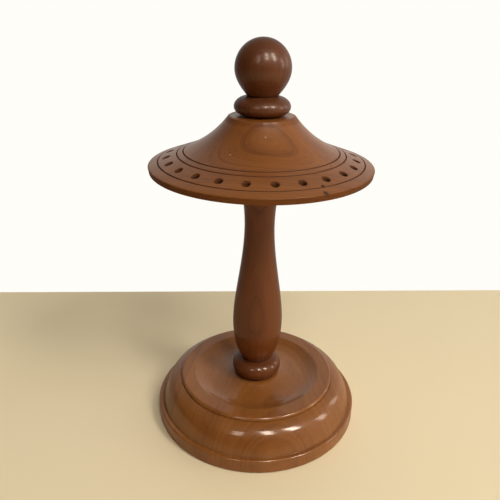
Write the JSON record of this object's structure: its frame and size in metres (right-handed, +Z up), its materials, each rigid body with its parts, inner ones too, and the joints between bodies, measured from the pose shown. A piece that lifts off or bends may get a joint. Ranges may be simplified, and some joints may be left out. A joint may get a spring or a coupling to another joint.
{
  "type": "earring stand",
  "caption": "Turned wooden earring stand: a coned disc with a ring of hook holes turns on a vase-shaped column over a moulded, dished base, under a ball finial.",
  "frame": {"origin": "centre of the flat resting face, on the axis of the turned pieces", "axes": "+Z up along the axis of turning; -Y is the front, half-way between two hook holes; +X is to the right seen from the front"},
  "size_m": [0.123, 0.123, 0.2222],
  "materials": {
    "base_wood": "polished satin lacquer over reddish-brown turned wood, growth rings showing",
    "column_wood": "polished satin lacquer over dark reddish-brown turned wood, long grain",
    "disc_wood": "polished satin lacquer over reddish-brown turned wood with burned groove lines",
    "finial_wood": "polished satin lacquer over dark reddish-brown turned wood",
    "dowel_wood": "plain unfinished hardwood dowel",
    "felt": "dark brown baize",
    "screw_steel": "bright zinc-plated steel",
    "washer_nylon": "natural nylon sheet"
  },
  "bodies": {
    "stand": {"felt_pad": "felt", "base": "base_wood", "base_screw": "screw_steel", "column": "column_wood", "pivot_dowel": "dowel_wood", "thrust_washer": "washer_nylon", "finial": "finial_wood"},
    "disc": {"earring_disc": "disc_wood"}
  },
  "joints": [
    {"name": "disc_turn", "type": "hinge", "parent": "stand", "child": "disc", "pos_m": [0, 0, 0.17], "axis": [0, 0, 1], "continuous": true}
  ]
}
